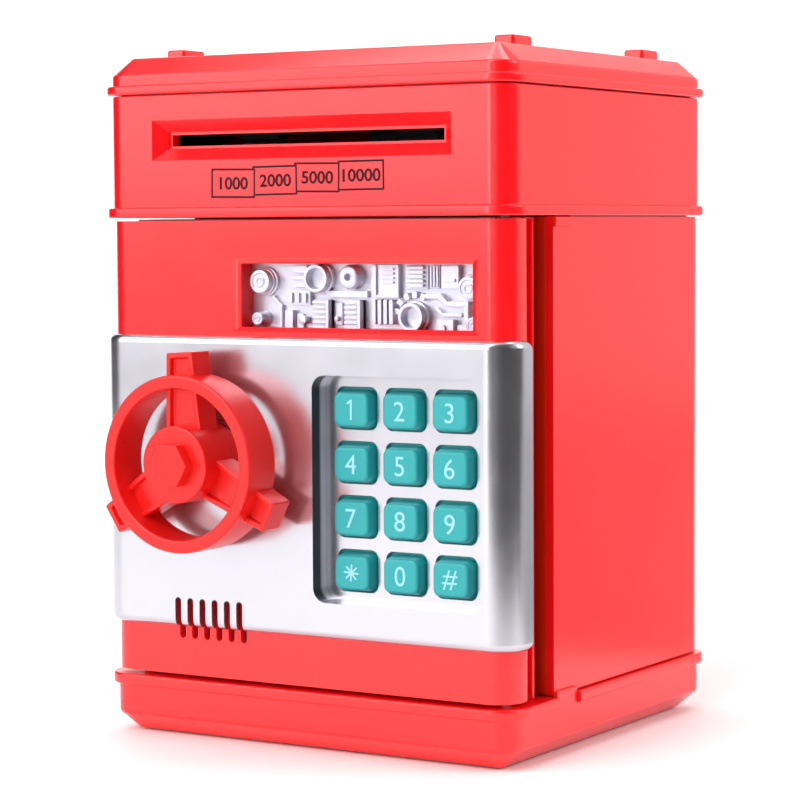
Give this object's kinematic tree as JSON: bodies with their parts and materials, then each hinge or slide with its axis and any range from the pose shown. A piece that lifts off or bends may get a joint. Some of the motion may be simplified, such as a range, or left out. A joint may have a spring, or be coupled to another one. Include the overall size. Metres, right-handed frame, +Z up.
{
  "type": "toy cash machine savings bank",
  "caption": "Toy cash machine money bank: hinged safe door with keypad, handwheel latch and show window, powered note slot above, coin slot on top.",
  "frame": {"origin": "centre of the underside, on the surface it stands on", "axes": "+Z up, the front with the door faces -Y, +X is to the right seen from the front"},
  "size_m": [0.131, 0.1402, 0.1888],
  "materials": {
    "red_plastic": "glossy moulded ABS",
    "silver_paint": "silver metallic lacquer over moulded ABS",
    "silver_relief": "silver metallic lacquer on a moulded relief",
    "teal_plastic": "satin moulded key caps",
    "clear_lens": "clear polished plastic",
    "steel": "plated steel",
    "rubber": "moulded rubber",
    "black_plastic": "satin moulded plastic",
    "nylon": "self-lubricating nylon",
    "board": "solder-masked laminate",
    "battery_can": "printed metal sleeve"
  },
  "bodies": {
    "cabinet": {"base_tray": "red_plastic", "body_shell": "red_plastic", "door_frame": "red_plastic", "upper_housing": "red_plastic", "top_cover": "red_plastic", "divider_shelf": "red_plastic", "coin_chute": "black_plastic", "base_screw_1": "steel", "base_screw_2": "steel", "base_screw_3": "steel", "base_screw_4": "steel", "battery_box": "black_plastic", "battery_1": "battery_can", "battery_2": "battery_can", "battery_3": "battery_can", "battery_cover": "red_plastic", "battery_screw": "steel", "hinge_pin_upper": "steel", "hinge_pin_lower": "steel", "feeder_frame": "black_plastic", "feed_motor": "steel"},
    "door": {"door_shell": "red_plastic", "faceplate": "silver_paint", "door_back_cover": "red_plastic", "lock_cover": "black_plastic", "window_lens": "clear_lens", "window_relief": "silver_relief", "key_membrane": "rubber", "circuit_board": "board", "speaker": "black_plastic", "door_screw_1": "steel", "door_screw_2": "steel", "door_screw_3": "steel", "door_screw_4": "steel", "lock_solenoid": "black_plastic"},
    "knob": {"handwheel": "red_plastic", "wheel_spindle": "steel", "latch_pinion": "nylon"},
    "bolt": {"latch_bolt": "nylon"},
    "plunger": {"lock_plunger": "steel"},
    "feed_rollers": {"feed_shaft": "steel", "feed_roller_left": "rubber", "feed_roller_right": "rubber", "drive_gear": "nylon"},
    "pinch_rollers": {"pinch_shaft": "steel", "pinch_roller_left": "rubber", "pinch_roller_right": "rubber"},
    "motor_rotor": {"motor_pinion": "nylon"},
    "key_1": {"key_1": "teal_plastic"},
    "key_2": {"key_2": "teal_plastic"},
    "key_3": {"key_3": "teal_plastic"},
    "key_4": {"key_4": "teal_plastic"},
    "key_5": {"key_5": "teal_plastic"},
    "key_6": {"key_6": "teal_plastic"},
    "key_7": {"key_7": "teal_plastic"},
    "key_8": {"key_8": "teal_plastic"},
    "key_9": {"key_9": "teal_plastic"},
    "key_star": {"key_star": "teal_plastic"},
    "key_0": {"key_0": "teal_plastic"},
    "key_hash": {"key_hash": "teal_plastic"}
  },
  "joints": [
    {"name": "door_hinge", "type": "hinge", "parent": "cabinet", "child": "door", "pos_m": [0.0578, -0.0492, 0.0791], "axis": [0, 0, 1], "range_deg": [0, 110]},
    {"name": "wheel_turn", "type": "hinge", "parent": "door", "child": "knob", "pos_m": [-0.0269, -0.07, 0.0769], "axis": [0, 1, 0], "range_deg": [0, 90]},
    {"name": "bolt_slide", "type": "slide", "parent": "door", "child": "bolt", "axis": [-1, 0, 0], "range_m": [0, 0.006]},
    {"name": "plunger_slide", "type": "slide", "parent": "door", "child": "plunger", "axis": [-1, 0, 0], "range_m": [0, 0.0025], "stiffness_N_per_m": 30},
    {"name": "feed_spin", "type": "hinge", "parent": "cabinet", "child": "feed_rollers", "pos_m": [0, -0.036, 0.15865], "axis": [1, 0, 0], "continuous": true},
    {"name": "pinch_spin", "type": "hinge", "parent": "cabinet", "child": "pinch_rollers", "pos_m": [0, -0.036, 0.16745], "axis": [1, 0, 0], "continuous": true},
    {"name": "motor_spin", "type": "hinge", "parent": "cabinet", "child": "motor_rotor", "pos_m": [0.052, -0.02935, 0.17017], "axis": [1, 0, 0], "continuous": true},
    {"name": "key_1_press", "type": "slide", "parent": "door", "child": "key_1", "axis": [0, 1, 0], "range_m": [0, 0.0012], "stiffness_N_per_m": 200},
    {"name": "key_2_press", "type": "slide", "parent": "door", "child": "key_2", "axis": [0, 1, 0], "range_m": [0, 0.0012], "stiffness_N_per_m": 200},
    {"name": "key_3_press", "type": "slide", "parent": "door", "child": "key_3", "axis": [0, 1, 0], "range_m": [0, 0.0012], "stiffness_N_per_m": 200},
    {"name": "key_4_press", "type": "slide", "parent": "door", "child": "key_4", "axis": [0, 1, 0], "range_m": [0, 0.0012], "stiffness_N_per_m": 200},
    {"name": "key_5_press", "type": "slide", "parent": "door", "child": "key_5", "axis": [0, 1, 0], "range_m": [0, 0.0012], "stiffness_N_per_m": 200},
    {"name": "key_6_press", "type": "slide", "parent": "door", "child": "key_6", "axis": [0, 1, 0], "range_m": [0, 0.0012], "stiffness_N_per_m": 200},
    {"name": "key_7_press", "type": "slide", "parent": "door", "child": "key_7", "axis": [0, 1, 0], "range_m": [0, 0.0012], "stiffness_N_per_m": 200},
    {"name": "key_8_press", "type": "slide", "parent": "door", "child": "key_8", "axis": [0, 1, 0], "range_m": [0, 0.0012], "stiffness_N_per_m": 200},
    {"name": "key_9_press", "type": "slide", "parent": "door", "child": "key_9", "axis": [0, 1, 0], "range_m": [0, 0.0012], "stiffness_N_per_m": 200},
    {"name": "key_star_press", "type": "slide", "parent": "door", "child": "key_star", "axis": [0, 1, 0], "range_m": [0, 0.0012], "stiffness_N_per_m": 200},
    {"name": "key_0_press", "type": "slide", "parent": "door", "child": "key_0", "axis": [0, 1, 0], "range_m": [0, 0.0012], "stiffness_N_per_m": 200},
    {"name": "key_hash_press", "type": "slide", "parent": "door", "child": "key_hash", "axis": [0, 1, 0], "range_m": [0, 0.0012], "stiffness_N_per_m": 200}
  ],
  "couplings": [
    {"joint": "bolt_slide", "follows": "wheel_turn", "m_per_rad": 0.00375},
    {"joint": "pinch_spin", "follows": "feed_spin", "ratio": -1},
    {"joint": "motor_spin", "follows": "feed_spin", "ratio": -2.8}
  ]
}
